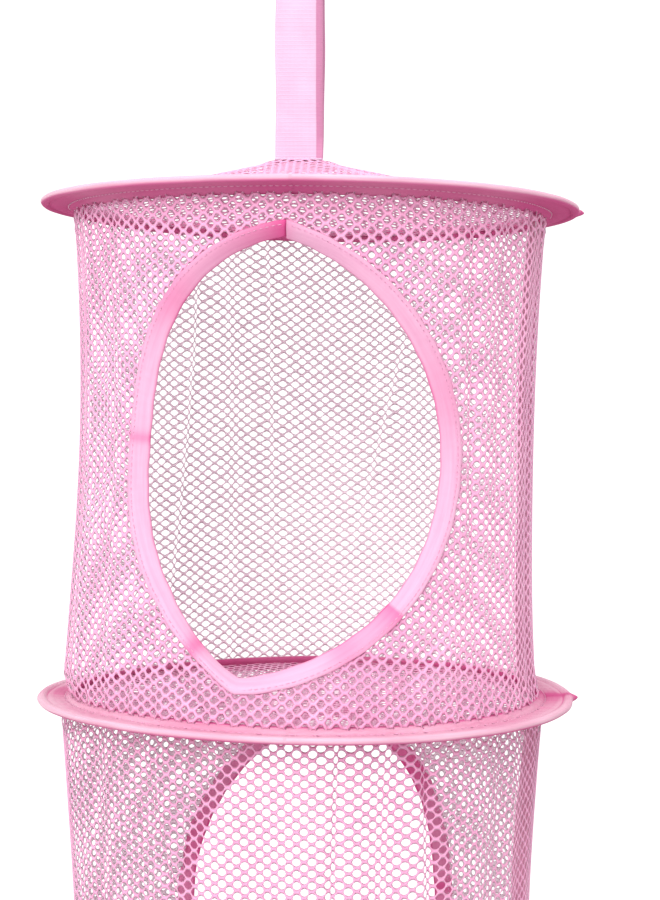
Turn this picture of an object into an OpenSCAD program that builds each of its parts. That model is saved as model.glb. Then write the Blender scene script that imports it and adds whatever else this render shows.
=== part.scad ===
/* [Bag] */
// Distance between one hoop's plane and the next
tier_h = 262; // [250:1:320]
// Radius of the net walls where they are sewn to the hoops
wall_r = 124; // [100:1:160]
// How far each wall pulls in half way between its hoops
waist = 5; // [2:0.5:10]
// Height of the cone-shaped top panel over the top hoop's plane
cone_rise = 24; // [10:1:40]
// Thickness that stands for the knitted net
net_t = 0.8; // [0.6:0.1:1]

/* [Hoops] */
// Distance from the walls' seam out to the middle of the hoop's wire
brim_w = 15.5; // [12:0.5:20]
// Diameter of the spring wire
wire_d = 2; // [1.6:0.1:2.2]
// Outer diameter of the ferrule that joins the wire's two ends
ferrule_d = 2.8; // [2.6:0.1:2.9]
// Length of that ferrule as an angle about the bag's axis, in degrees
ferrule_angle = 10; // [6:1:16]
// Diameter of the fabric tube round the wire, outside
sleeve_d = 3.6; // [3.5:0.1:5]

/* [Openings] */
// Height of an opening, over its binding
opening_h = 218; // [150:1:225]
// How far the opening bulges to the left of the line between its two points
opening_left = 66; // [40:1:70]
// How far it bulges to the right of that line
opening_right = 94; // [60:1:95]
// Where that line stands, to the right of the bag's middle
opening_shift = -15; // [-20:1:5]
// How far that line leans to the right at the top, in degrees
opening_lean = 4; // [0:1:8]
// Width of the binding tape
binding_w = 9; // [8:0.5:12]

/* [Strap] */
// Width of the webbing
strap_w = 25; // [20:1:30]
// Distance from the hanging point down to the strap's bend line
strap_drop = 104; // [80:1:150]
// Radius inside the top of the loop
loop_r = 5; // [4:0.5:7]
// Thickness of the webbing
strap_t = 1.3; // [1:0.1:1.6]

/* [Hidden] */
$fn = 96;

body_gap = 0.3;                     // between pieces that move apart
sewn_gap = 0.1;                     // between pieces that are sewn together
bead_r = 1.6;                       // rolled foot of the strap, round the bend line
leg_foot_r = 1.2;                   // half the legs' thickness where they meet that roll
slit_r = 0.2;                       // half the slit between the legs at its foot
legs_joined = 8;                    // how far over the bend line the legs part
tab_t = 2.4;                        // two layers of webbing
tab_l = 14;                         // tab, front to back
patch_r = 17;                       // anchor patch under the top panel's middle
patch_t = 0.9;
panel_flat_r = 18;                  // flat middle of the top panel
hoop_r = wall_r + brim_w;           // to the middle of the wire
sleeve_inner_r = wall_r + 0.6;      // the sleeve's sewn edge
sleeve_edge_t = 1.2;                // two layers of fabric at that edge
cavity_r = ferrule_d / 2 + sewn_gap; // room for the wire and the ferrule
stitch_line_r = wall_r + 3;         // the seam through each sleeve
thread_r = 0.3;
thread_lift = 0.05;                 // between a thread and the fabric under it
wall_end_gap = 1;                   // between a wall's trims and the hoop's plane
arc_steps = 16;                     // straight steps that draw the strap's bends
seam_w = 10;                        // folded allowance of the walls' side seam
seam_t = 1.2;
tape_half_t = 1;                    // binding, from the net's mid surface to its face
tape_slot = 6;                      // how deep the net lies inside the binding
slot_reach = 5;                     // how far that slot is cut past the tape's edge
tape_stitch_inset = 1.8;            // stitch line, in from the binding's outer edge

tab_top = -strap_drop - bead_r - body_gap;
apex_z = tab_top - tab_t - sewn_gap; // top of the top panel's flat middle
rim_1_z = apex_z - cone_rise;        // plane of the top hoop

// Plane of each hoop, counted from 1 at the top
function rim_z(i) = rim_1_z - (i - 1) * tier_h;

// Radius of the long arc that a wall's outline follows between two hoops
bow_r = (tier_h * tier_h / 4 + waist * waist) / (2 * waist);

// How full each quarter of an opening's outline is: the higher the first number, the
// squarer its shoulder, and the lower the second, the sharper its point
upper_right = [2, 1.85];
lower_right = [2.2, 1.7];
upper_left = [3, 1.7];
lower_left = [2.4, 1.3];
quarter_steps = 12;                 // straight steps that draw each quarter
point_growth = 1.15;                // how far a point moves when the sides move by 1

// One side of the outline, as [distance out, height] from its upper to its lower point
function opening_side(bulge, half_h, upper, lower) = [
    for (a = [90:-90 / quarter_steps:-90])
        let(fullness = a > 0 ? upper : lower)
            [bulge * pow(1 - pow(abs(sin(a)), fullness[0]), 1 / fullness[1]), half_h * sin(a)]
];

// A waisted shell round tier i, between two distances from the net's mid surface
module tier_shell(i, inner, outer, end_gap) {
    bow_x = wall_r - waist + bow_r;
    translate([0, 0, rim_z(i) - tier_h / 2])
        rotate_extrude()
            intersection() {
                translate([wall_r / 2, -tier_h / 2 + end_gap])
                    square([wall_r, tier_h - 2 * end_gap]);
                difference() {
                    translate([bow_x, 0]) circle(bow_r - inner, $fn = 720);
                    translate([bow_x, 0]) circle(bow_r - outer, $fn = 720);
                }
            }
}

// The opening's outline, its two pointed ends on the Y axis, grown by a margin
module opening_outline(grow) {
    half_h = opening_h / 2 + point_growth * grow;
    right = opening_side(opening_right + grow, half_h, upper_right, lower_right);
    left = opening_side(opening_left + grow, half_h, upper_left, lower_left);
    polygon(concat(
        right,
        [for (n = [len(left) - 2:-1:1]) [-left[n][0], left[n][1]]]
    ));
}

// A block through one side of tier i in that outline: the odd tiers open at the
// front, the even ones at the back
module opening_block(i, grow) {
    translate([0, 0, rim_z(i) - tier_h / 2])
        rotate([0, 0, i % 2 == 1 ? 0 : 180])
            translate([opening_shift, 0, 0])
                rotate([0, opening_lean, 0])
                    rotate([90, 0, 0])
                        translate([0, 0, wall_r / 2])
                            linear_extrude(wall_r)
                                opening_outline(grow);
}

// One closed loop of webbing, its foot rolled round the bend line
module hanging_strap() {
    color("plum")
        rotate([90, 0, 90])
            linear_extrude(strap_w, center = true)
                difference() {
                    union() {
                        belt(loop_r + strap_t, leg_foot_r, strap_drop);
                        translate([0, -strap_drop]) circle(bead_r);
                    }
                    belt(loop_r, slit_r, strap_drop - legs_joined);
                }
}

// Points along an arc about a point on the Y axis
function arc(centre_y, r, from, to) =
    [for (a = [from:(to - from) / arc_steps:to + 0.01]) [r * cos(a), centre_y + r * sin(a)]];

// The outline of a belt round a circle at the top and a small one below it
module belt(top_r, foot_r, foot_depth) {
    turn = asin((top_r - foot_r) / (foot_depth - loop_r));
    polygon(concat(
        arc(-loop_r, top_r, -turn, 180 + turn),
        arc(-foot_depth, foot_r, 180 + turn, 360 - turn)
    ));
}

// The strap's two ends, spread flat on the top panel where they are sewn down
module strap_tab() {
    color("plum")
        translate([-strap_w / 2, -tab_l / 2, tab_top - tab_t])
            cube([strap_w, tab_l, tab_t]);
}

// Two rows of stitches that hold the tab, the net and the patch together
module strap_stitching() {
    stitch_l = 2.2;
    stitch_pitch = 3;
    row_y = tab_l / 2 - 2;
    color("orchid")
        for (side = [-1, 1], n = [-3:3])
            translate([n * stitch_pitch, side * row_y, tab_top + thread_lift + thread_r / 2])
                cube([stitch_l, 2 * thread_r, thread_r], center = true);
}

// Fabric disc under the net that the stitches bite into
module anchor_patch() {
    color("palevioletred")
        translate([0, 0, apex_z - net_t - sewn_gap - patch_t])
            cylinder(r = patch_r, h = patch_t);
}

// Shallow net cone over the top hoop
module top_panel() {
    edge_r = wall_r + 0.2;
    color("pink")
        translate([0, 0, rim_1_z])
            rotate_extrude()
                polygon([
                    [0, cone_rise],
                    [panel_flat_r, cone_rise],
                    [edge_r, net_t / 2],
                    [edge_r, -net_t / 2],
                    [panel_flat_r, cone_rise - net_t],
                    [0, cone_rise - net_t]
                ]);
}

// Spring wire bent into a ring, its ends butted at the +X side
module hoop_wire(i) {
    end_gap = 0.8;
    color("silver")
        translate([0, 0, rim_z(i)])
            difference() {
                rotate_extrude() translate([hoop_r, 0]) circle(wire_d / 2);
                translate([hoop_r, 0, 0]) cube([2 * wire_d, end_gap, 2 * wire_d], center = true);
            }
}

// Crimped tube over the wire's two ends
module hoop_ferrule(i) {
    color("gray")
        translate([0, 0, rim_z(i)])
            rotate([0, 0, -ferrule_angle / 2])
                rotate_extrude(angle = ferrule_angle)
                    translate([hoop_r, 0])
                        difference() {
                            circle(ferrule_d / 2);
                            circle(wire_d / 2 + 0.05);
                        }
}

// Fabric folded round the wire and sewn to the net at its inner edge
module rim_sleeve(i) {
    tube_r = sleeve_d / 2;
    join_x = hoop_r - tube_r / 4;
    join_t = sqrt(tube_r * tube_r - tube_r * tube_r / 16);
    color("hotpink")
        translate([0, 0, rim_z(i)])
            rotate_extrude()
                difference() {
                    union() {
                        translate([hoop_r, 0]) circle(tube_r);
                        polygon([
                            [sleeve_inner_r, -sleeve_edge_t / 2],
                            [join_x, -join_t],
                            [join_x, join_t],
                            [sleeve_inner_r, sleeve_edge_t / 2]
                        ]);
                    }
                    translate([hoop_r, 0]) circle(cavity_r);
                }
}

// Sewing thread along the rim's seam, over and under the sleeve
module rim_stitching(i) {
    slope = (sleeve_d - sleeve_edge_t) / 2 / (hoop_r - sleeve_inner_r);
    seam_half_t = sleeve_edge_t / 2 + (stitch_line_r - sleeve_inner_r) * slope;
    color("deeppink")
        translate([0, 0, rim_z(i)])
            for (side = [-1, 1])
                rotate_extrude()
                    translate([stitch_line_r, side * (seam_half_t + 1.4 * thread_r)])
                        circle(thread_r);
}

// Net wall of one tier, with its opening cut out
module wall_net(i) {
    color("lightpink")
        difference() {
            tier_shell(i, -net_t / 2, net_t / 2, net_t / 2 + body_gap);
            opening_block(i, 2 * sewn_gap - tape_slot);
        }
}

// Folded allowance of the wall's upright seam, inside the net on the +X side
module side_seam(i) {
    color("hotpink")
        intersection() {
            tier_shell(i, -net_t / 2 - body_gap - seam_t, -net_t / 2 - body_gap, wall_end_gap);
            translate([wall_r, 0, rim_z(i) - tier_h / 2])
                cube([wall_r, seam_w, tier_h], center = true);
        }
}

// Tape folded over the cut edge of the net, all the way round the opening
module opening_binding(i) {
    color("violet")
        difference() {
            intersection() {
                tier_shell(i, -tape_half_t, tape_half_t, wall_end_gap);
                opening_block(i, 0);
            }
            opening_block(i, -binding_w);
            intersection() {
                tier_shell(i, -net_t / 2 - sewn_gap, net_t / 2 + sewn_gap, wall_end_gap);
                difference() {
                    opening_block(i, slot_reach);
                    opening_block(i, -tape_slot);
                }
            }
        }
}

// Thread along the binding, on its outer and its inner face
module binding_stitching(i) {
    from = tape_half_t + thread_lift;
    color("deeppink")
        for (side = [-1, 1])
            intersection() {
                tier_shell(i, side * from - thread_r * (1 - side) / 2,
                           side * from + thread_r * (1 + side) / 2, wall_end_gap);
                difference() {
                    opening_block(i, -tape_stitch_inset);
                    opening_block(i, -tape_stitch_inset - 2 * thread_r);
                }
            }
}

// Flat net floor of one tier, in the plane of the hoop below it
module floor_net(i) {
    color("pink")
        translate([0, 0, rim_z(i + 1) - net_t / 2])
            cylinder(r = wall_r + 0.2, h = net_t);
}

hanging_strap();
strap_tab();
strap_stitching();
anchor_patch();
top_panel();
hoop_wire(1);  // hoop_wire_1
hoop_wire(2);  // hoop_wire_2
hoop_wire(3);  // hoop_wire_3
hoop_wire(4);  // hoop_wire_4
hoop_ferrule(1);  // hoop_ferrule_1
hoop_ferrule(2);  // hoop_ferrule_2
hoop_ferrule(3);  // hoop_ferrule_3
hoop_ferrule(4);  // hoop_ferrule_4
rim_sleeve(1);  // rim_sleeve_1
rim_sleeve(2);  // rim_sleeve_2
rim_sleeve(3);  // rim_sleeve_3
rim_sleeve(4);  // rim_sleeve_4
rim_stitching(1);  // rim_stitching_1
rim_stitching(2);  // rim_stitching_2
rim_stitching(3);  // rim_stitching_3
rim_stitching(4);  // rim_stitching_4
wall_net(1);  // wall_net_1
wall_net(2);  // wall_net_2
wall_net(3);  // wall_net_3
side_seam(1);  // side_seam_1
side_seam(2);  // side_seam_2
side_seam(3);  // side_seam_3
opening_binding(1);  // opening_binding_1
opening_binding(2);  // opening_binding_2
opening_binding(3);  // opening_binding_3
binding_stitching(1);  // binding_stitching_1
binding_stitching(2);  // binding_stitching_2
binding_stitching(3);  // binding_stitching_3
floor_net(1);  // floor_net_1
floor_net(2);  // floor_net_2
floor_net(3);  // floor_net_3
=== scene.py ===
"""The looks of the hanging mesh laundry bag: knitted net walls and floors, satin rims round
wire hoops, bound openings and a webbing strap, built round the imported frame."""
import bpy
import numpy as np
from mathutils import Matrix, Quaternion, Vector
from numpy import cos, exp, hypot, pi, radians, sin


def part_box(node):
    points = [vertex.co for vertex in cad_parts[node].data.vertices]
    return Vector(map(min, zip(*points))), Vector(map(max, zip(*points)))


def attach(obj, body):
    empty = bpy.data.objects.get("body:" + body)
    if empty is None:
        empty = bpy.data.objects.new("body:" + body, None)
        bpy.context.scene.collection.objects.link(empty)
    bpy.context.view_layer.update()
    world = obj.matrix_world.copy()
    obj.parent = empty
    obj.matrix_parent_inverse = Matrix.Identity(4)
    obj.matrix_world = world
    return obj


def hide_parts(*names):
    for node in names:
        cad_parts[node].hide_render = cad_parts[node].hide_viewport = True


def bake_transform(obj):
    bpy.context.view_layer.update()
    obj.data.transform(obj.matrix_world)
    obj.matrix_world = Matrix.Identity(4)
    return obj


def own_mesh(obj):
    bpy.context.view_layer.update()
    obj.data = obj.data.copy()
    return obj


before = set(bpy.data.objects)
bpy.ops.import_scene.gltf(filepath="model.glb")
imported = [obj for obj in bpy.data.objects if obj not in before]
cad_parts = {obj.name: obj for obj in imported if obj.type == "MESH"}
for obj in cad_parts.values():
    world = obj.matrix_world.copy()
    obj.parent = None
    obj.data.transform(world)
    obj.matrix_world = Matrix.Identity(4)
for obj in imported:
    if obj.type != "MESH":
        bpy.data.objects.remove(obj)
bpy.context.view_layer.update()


# ---- Sizes, in metres
MM = 0.001
TURN = 2 * pi
TIERS = (1, 2, 3)
HOOPS = (1, 2, 3, 4)
HOOP_BODY = {1: "top_hoop", 2: "second_hoop", 3: "third_hoop", 4: "bottom_hoop"}


def size_of(name):
    """A CAD node's size along X, Y and Z."""
    low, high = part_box(name)
    return high - low


APEX_DROP = 1.6 * MM  # how far the top panel's peak hangs below its CAD height
APEX_X = -6.4 * MM  # how far the strap pulls it to one side
HOOP_Z = {i: sum(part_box(f"rim_sleeve_{i}"), Vector()).z / 2 for i in HOOPS}
TIER_H = HOOP_Z[1] - HOOP_Z[2]
SLEEVE_R = size_of("rim_sleeve_1").z / 2
HOOP_R = size_of("rim_sleeve_1").x / 2 - SLEEVE_R
WALL_R = size_of("floor_net_1").x / 2 - 0.2 * MM
BRIM = HOOP_R - WALL_R  # from the walls out to the wire
SEAM_R = WALL_R + 3 * MM  # stitch line of the rims
WIRE_R = size_of("hoop_wire_1").z / 2
FERRULE_R = size_of("hoop_ferrule_1").z / 2
FERRULE_L = size_of("hoop_ferrule_1").y
CONE_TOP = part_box("top_panel")[1].z - APEX_DROP
STRAP_W = size_of("hanging_strap").x
STRAP_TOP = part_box("hanging_strap")[1].z
STRAP_T = size_of("strap_tab").z / 2
LOOP_R = size_of("hanging_strap").y / 2 - STRAP_T
TAB_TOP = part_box("strap_tab")[1].z - APEX_DROP
TAB_L = size_of("strap_tab").y
PATCH_R = size_of("anchor_patch").x / 2
SIDE_SEAM_W = size_of("side_seam_1").y

WAIST = 5 * MM  # how far a wall pulls in half way between its hoops
LEAN = radians(4)  # the opening's lean, to the right at the top
OPEN_SHIFT = -15 * MM  # its upright line, from the bag's middle
OPEN_LEFT = 66 * MM  # its bulge to each side of that line
OPEN_RIGHT = 94 * MM
OPEN_H = 218 * MM  # from point to point
POINT_GROWTH = 1.15  # how far a point moves when the sides move by 1
# How square each quarter's shoulder is, and how blunt its point: (right, left) for each
UPPER = ((2.0, 3.0), (1.85, 1.7))
LOWER = ((2.2, 2.4), (1.7, 1.3))
TAPE_W = 9 * MM  # width of the folded binding
TAPE_STITCH = 1.8 * MM  # its stitch line, in from its outer edge
THREAD_R = 0.3 * MM

WALL_COLUMNS = 210  # half repeats of the net round a wall
WALL_ROWS = 91
HALF_COLUMN = TURN * WALL_R / WALL_COLUMNS
HALF_ROW = TIER_H / 92.3
# Half the width and half the height of one hole, and its shape: 2 is an ellipse, 1 a lozenge
ROUND_HOLE = (1.72 * MM, 1.46 * MM, 1.9)
OPEN_HOLE = (2.15 * MM, 1.84 * MM, 1.9)
SMALL_HOLE = (1.6 * MM, 1.38 * MM, 1.9)
WIDE_HOLE = (2.5 * MM, 1.92 * MM, 1.32)
NET_IN_TAPE = 1.2 * MM  # how far in from the outline the outermost holes may lie
YARN_R = 0.26 * MM  # half the net's thickness where its strands meet

# How each real hoop hangs, in mm: its rise, how much higher it is at the +X side, the size of
# its warp, the warp's phase in degrees, and how far the rim's inner edge droops
HOOP_HANG = {
    1: (-1.8, -0.9, 0.5, 75, 1.8),
    2: (3.0, 0.8, 1.1, -90, 0.0),
    3: (0.6, -1.4, 0.5, 220, 0.6),
    4: (0.0, 0.9, 0.4, 300, 0.8),
}

rng = np.random.default_rng(20)


# ---- Formulas
def unit(vectors):
    """Vectors scaled to a length of one."""
    return vectors / np.linalg.norm(vectors, axis=-1, keepdims=True)


def hump(away, reach=1.0):
    """1 where away is 0, falling to a third at reach on either side."""
    return exp(-(away / reach) ** 2)


def clamp(values):
    """Values held between 0 and 1."""
    return np.clip(values, 0, 1)


def around(count):
    """Evenly spaced angles of one full turn."""
    return np.linspace(0, TURN, count, endpoint=False)


def distances(line):
    """How far along a line of points each of them lies."""
    return np.concatenate(([0], np.cumsum(np.linalg.norm(np.diff(line, axis=0), axis=1))))


def at_distances(line, along, at):
    """What a line of values, known at distances along, is at other distances."""
    return np.stack([np.interp(at, along, column) for column in line.T], axis=1)


def together(*arrays):
    """Arrays broadcast to one shape and stacked as coordinates."""
    return np.stack(np.broadcast_arrays(*arrays), axis=-1)


# ---- Meshes
def make_piece(name, points, face_groups, material, cloth=None, **marks):
    """A mesh piece from points and arrays of faces, each array with one number of corners.
    cloth holds each point's place along and across its fabric, marks are numbers per point."""
    corners = np.concatenate([f.ravel() for f in face_groups]).astype(np.int32)
    counts = np.concatenate([np.full(len(f), f.shape[1]) for f in face_groups])
    starts = np.concatenate(([0], np.cumsum(counts)[:-1])).astype(np.int32)
    mesh = bpy.data.meshes.new(name)
    mesh.vertices.add(len(points))
    mesh.vertices.foreach_set("co", np.asarray(points, np.float32).ravel())
    mesh.loops.add(len(corners))
    mesh.loops.foreach_set("vertex_index", corners)
    mesh.polygons.add(len(counts))
    mesh.polygons.foreach_set("loop_start", starts)
    mesh.update(calc_edges=True)
    mesh.shade_smooth()
    if cloth is not None:
        places = np.zeros((len(points), 3), np.float32)
        places[:, :2] = cloth
        layer = mesh.attributes.new("cloth", "FLOAT_VECTOR", "POINT")
        layer.data.foreach_set("vector", places.ravel())
    for key, values in marks.items():
        layer = mesh.attributes.new(key, "FLOAT", "POINT")
        layer.data.foreach_set("value", np.asarray(values, np.float32).ravel())
    mesh.materials.append(material)
    piece = bpy.data.objects.new(name, mesh)
    bpy.context.scene.collection.objects.link(piece)
    return piece


def grid_faces(rows, columns, wrap_rows, wrap_columns, first=0):
    """Quads over a grid of points that is stored row by row."""
    r = np.arange(rows if wrap_rows else rows - 1)
    c = np.arange(columns if wrap_columns else columns - 1)
    r, c = (a.ravel() for a in np.meshgrid(r, c, indexing="ij"))
    r2, c2 = (r + 1) % rows, (c + 1) % columns
    quads = [r * columns + c, r2 * columns + c, r2 * columns + c2, r * columns + c2]
    return np.stack(quads, axis=1) + first


def sweep(name, grid, material, cloth=None, deep=0.0, closed=False, hollow=None):
    """A run of closed sections, with a flat cap at each end or closed into a ring round a
    hollow, which is a second such grid. deep says how deep the colour is."""
    rows, columns = grid.shape[:2]
    points = grid.reshape(-1, 3)
    deep = np.broadcast_to(deep, (rows, columns)).ravel()
    cloth = None if cloth is None else cloth.reshape(-1, 2)
    faces = [grid_faces(rows, columns, closed, True)]
    if not closed:
        first_cap = np.arange(columns)[None]
        faces += [first_cap, (rows - 1) * columns + first_cap[:, ::-1]]
    if hollow is not None:
        faces.append(grid_faces(*hollow.shape[:2], True, True, first=len(points))[:, ::-1])
        hidden = hollow.shape[0] * hollow.shape[1]
        points = np.concatenate([points, hollow.reshape(-1, 3)])
        cloth = np.concatenate([cloth, np.zeros((hidden, 2))])
        deep = np.concatenate([deep, np.zeros(hidden)])
    return make_piece(name, points, faces, material, cloth, deep=deep)


STITCH_SIDES = 5
# The rings of a stitch: share of its length, share of its radius, dip in radii
STITCH_RINGS = ((-0.36, 0.8, 0.45), (0.0, 1.0, 0.0), (0.36, 0.8, 0.45))
STITCH_TIPS = ((-0.5, 1.1), (0.5, 1.1))  # the same for its two ends, which are points


def stitch_run(name, runs, pitch, length, cover=0.35):
    """Separate stitches along runs of (points, directions out of the fabric). cover is how far
    they stand out of it, in radii."""
    stitches = []
    for path, outward in runs:
        along = distances(path)
        count = int(along[-1] // pitch)
        at = (np.arange(count) + 0.5) * along[-1] / count
        centre = at_distances(path, along, at)
        up = unit(at_distances(outward, along, at)) * THREAD_R
        run = unit(at_distances(path, along, at + pitch / 4) - centre)
        aside = unit(np.cross(up, run)) * THREAD_R
        centre = centre + up * cover + aside * rng.uniform(-0.25, 0.25, (count, 1))
        points = []
        for share, radius, dip in STITCH_RINGS:
            middle = centre + run * share * length - up * dip
            points += [middle + (aside * cos(a) + up * sin(a)) * radius
                       for a in around(STITCH_SIDES)]
        points += [centre + run * share * length - up * dip for share, dip in STITCH_TIPS]
        stitches.append(np.stack(points, axis=1))
    points = np.concatenate(stitches)
    count, corners = points.shape[:2]
    first = np.arange(count)[:, None, None] * corners
    quads = grid_faces(len(STITCH_RINGS), STITCH_SIDES, False, True)[:, ::-1]
    k = np.arange(STITCH_SIDES)
    k2 = (k + 1) % STITCH_SIDES
    top = (len(STITCH_RINGS) - 1) * STITCH_SIDES
    low = together(corners - 2, k2, k)
    high = together(corners - 1, top + k, top + k2)
    tips = np.concatenate([low, high])[:, ::-1]
    faces = [(first + quads).reshape(-1, 4), (first + tips).reshape(-1, 3)]
    return make_piece(name, points.reshape(-1, 3), faces, THREAD)


# ---- Materials
def put(tree, value, socket):
    """Links an output to a socket, or sets the socket to a plain value."""
    if isinstance(value, bpy.types.NodeSocket):
        tree.links.new(value, socket)
    else:
        socket.default_value = value


def principled(name, color, roughness, sheen=0.0, specular=0.4, metallic=0.0):
    """A Principled material, its node tree and its shader."""
    material = bpy.data.materials.new(name)
    material.use_nodes = True
    tree = material.node_tree
    shader = tree.nodes["Principled BSDF"]
    values = {"Base Color": (*color, 1), "Roughness": roughness, "Specular IOR Level": specular,
              "Metallic": metallic, "Sheen Weight": sheen, "Sheen Roughness": 0.4,
              "Sheen Tint": (1, 0.86, 0.94, 1)}
    for socket, value in values.items():
        put(tree, value, shader.inputs[socket])
    return material, tree, shader


def node(tree, kind, **values):
    """A new shader node with its settings set and its inputs set or linked."""
    made = tree.nodes.new(f"ShaderNode{kind}")
    for key, value in values.items():
        if key in made.inputs:
            put(tree, value, made.inputs[key])
        else:
            setattr(made, key, value)
    return made


def noise(tree, scale, detail=2.0, where=None):
    """Noise over the piece's own coordinates, or over a vector output."""
    if where is None:
        where = node(tree, "TexCoord").outputs["Object"]
    return node(tree, "TexNoise", Scale=scale, Detail=detail, Vector=where).outputs["Fac"]


def attribute(tree, name, output="Fac"):
    """An output of a mesh attribute."""
    return node(tree, "Attribute", attribute_name=name).outputs[output]


def ramp(tree, value, low, high, start=0.3, end=0.7):
    """A colour that goes from low to high as a value goes from start to end."""
    made = node(tree, "ValToRGB", Fac=value)
    stops = ((start, low), (end, high))
    for element, (position, color) in zip(made.color_ramp.elements, stops):
        element.position = position
        element.color = (*color, 1)
    return made.outputs["Color"]


def ranged(tree, value, low, high, start=0.0, end=1.0):
    """A value's range from start to end carried over to low to high, and held beyond it."""
    ends = {"From Min": start, "From Max": end, "To Min": low, "To Max": high}
    return node(tree, "MapRange", Value=value, **ends).outputs["Result"]


def worked_out(tree, operation, first, second, kind="Math"):
    """What a maths node makes of two values or outputs."""
    made = node(tree, kind, operation=operation)
    put(tree, first, made.inputs[0])
    put(tree, second, made.inputs[1])
    return made.outputs[0]


def mixed(tree, first, second, factor, mode="MIX"):
    """Two colours mixed by a factor."""
    made = node(tree, "Mix", data_type="RGBA", blend_type=mode)
    for socket, value in ((0, factor), (6, first), (7, second)):
        put(tree, value, made.inputs[socket])
    return made.outputs[2]


WAVE_PERIOD = 0.314  # of a wave texture at a scale of 1


def weave_heights(tree, pitch_along, pitch_across):
    """Two crossing wave textures over the fabric's own directions."""
    cloth = attribute(tree, "cloth", "Vector")
    heights = []
    for direction, pitch in (("X", pitch_along), ("Y", pitch_across)):
        wave = node(tree, "TexWave", wave_type="BANDS", bands_direction=direction,
                    Scale=WAVE_PERIOD / pitch, Distortion=0.4, Detail=1.0, Vector=cloth)
        heights.append(wave.outputs["Fac"])
    return heights


def surface(tree, shader, color, rough, heights, distance, strength):
    """Gives a shader its colour, its roughness, and bump from the sum of some heights."""
    total = heights[0]
    for extra in heights[1:]:
        total = worked_out(tree, "ADD", total, extra)
    bump = node(tree, "Bump", Strength=strength, Distance=distance, Height=total)
    put(tree, color, shader.inputs["Base Color"])
    put(tree, rough, shader.inputs["Roughness"])
    put(tree, bump.outputs["Normal"], shader.inputs["Normal"])


def net_material():
    """Knitted net with uneven dye and fuzz, painted paler inside the bag as a sheen of light, and
    painted greyer at the holes as shade.
    """
    material, tree, shader = principled("net", (0.74, 0.32, 0.54), 0.62, sheen=0.3)
    patches = noise(tree, 22.0, 3.0)
    outer = ramp(tree, patches, (0.70, 0.29, 0.48), (0.79, 0.36, 0.55))
    # Painted sheen: the inner face of the walls is a paler, greyer pink, standing in for light on it.
    inner = ramp(tree, patches, (0.73, 0.60, 0.67), (0.81, 0.69, 0.75))
    face = ramp(tree, attribute(tree, "outside"), (0, 0, 0), (1, 1, 1), 0.35, 0.6)
    # Painted shade: the strands grow greyer towards each hole's edge.
    painted_hole_shade = ramp(tree, attribute(tree, "edge"), (1, 1, 1), (0.94, 0.90, 0.92), 0.45, 1.0)
    color = mixed(tree, mixed(tree, inner, outer, face), painted_hole_shade, 1.0, "MULTIPLY")
    fuzz = noise(tree, 2600.0)
    surface(tree, shader, color, ranged(tree, fuzz, 0.5, 0.75), [fuzz], 0.12 * MM, 0.7)
    return material


def satin_material(name, dark, light, folded, pitch, sheen):
    """Woven satin with a slight gloss, and painted shade: a deeper matt pink where the mesh calls it
    deep.
    """
    material, tree, shader = principled(name, light, 0.42, sheen=sheen)
    stretched = worked_out(tree, "MULTIPLY", attribute(tree, "cloth", "Vector"), (30, 620, 0),
                           "VectorMath")
    streaks = noise(tree, 1.0, 3.0, stretched)
    deep = attribute(tree, "deep")
    color = mixed(tree, ramp(tree, streaks, dark, light), (*folded, 1), deep)
    put(tree, ranged(tree, deep, 0.24, 0.0, 0.1, 0.6), shader.inputs["Specular IOR Level"])
    heights = weave_heights(tree, pitch, pitch) + [streaks]
    surface(tree, shader, color, ranged(tree, streaks, 0.34, 0.52), heights, 0.05 * MM, 0.6)
    return material


def webbing_material():
    """Ribbed webbing: the ribs are in the mesh, the fine weave in the bump."""
    material, tree, shader = principled("webbing", (0.60, 0.38, 0.50), 0.6, sheen=0.25)
    flat = ramp(tree, noise(tree, 60.0, 3.0), (0.56, 0.37, 0.51), (0.61, 0.42, 0.56))
    # Painted shade: the strip marked deep, along the curled edge, is a darker pink.
    color = mixed(tree, flat, (0.47, 0.17, 0.30, 1), attribute(tree, "deep"))
    rough = ranged(tree, noise(tree, 900.0), 0.5, 0.72)
    heights = weave_heights(tree, 1.0 * MM, 0.7 * MM)
    surface(tree, shader, color, rough, heights, 0.06 * MM, 0.6)
    return material


def thread_material():
    """Twisted polyester sewing thread."""
    material, tree, shader = principled("thread", (0.75, 0.28, 0.50), 0.5, sheen=0.3)
    color = ramp(tree, noise(tree, 300.0), (0.62, 0.25, 0.41), (0.70, 0.31, 0.48))
    surface(tree, shader, color, 0.5, [noise(tree, 3200.0, 1.0)], 0.08 * MM, 0.8)
    return material


def metal_material(name, color, rough_low, rough_high):
    """Drawn or crimped metal with fine scratches and dull patches."""
    material, tree, shader = principled(name, color, rough_low, specular=0.5, metallic=1.0)
    patches = noise(tree, 90.0, 4.0)
    tone = ramp(tree, patches, tuple(c * 0.72 for c in color), color, 0.35, 0.65)
    rough = ranged(tree, patches, rough_low, rough_high)
    surface(tree, shader, tone, rough, [noise(tree, 1800.0)], 0.03 * MM, 0.5)
    return material


NET = net_material()
# The third colour of each satin, the folded one, is the deep pink of painted shade.
SLEEVE = satin_material(
    "sleeve_fabric", (0.58, 0.29, 0.39), (0.68, 0.40, 0.50), (0.50, 0.08, 0.22), 0.5 * MM, 0.08)
TAPE = satin_material(
    "binding_tape", (0.63, 0.30, 0.45), (0.69, 0.36, 0.51), (0.60, 0.07, 0.24), 0.45 * MM, 0.1)
WEBBING = webbing_material()
THREAD = thread_material()
WIRE = metal_material("spring_wire", (0.62, 0.62, 0.63), 0.22, 0.38)
FERRULE = metal_material("ferrule_metal", (0.48, 0.46, 0.43), 0.35, 0.55)


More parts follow.
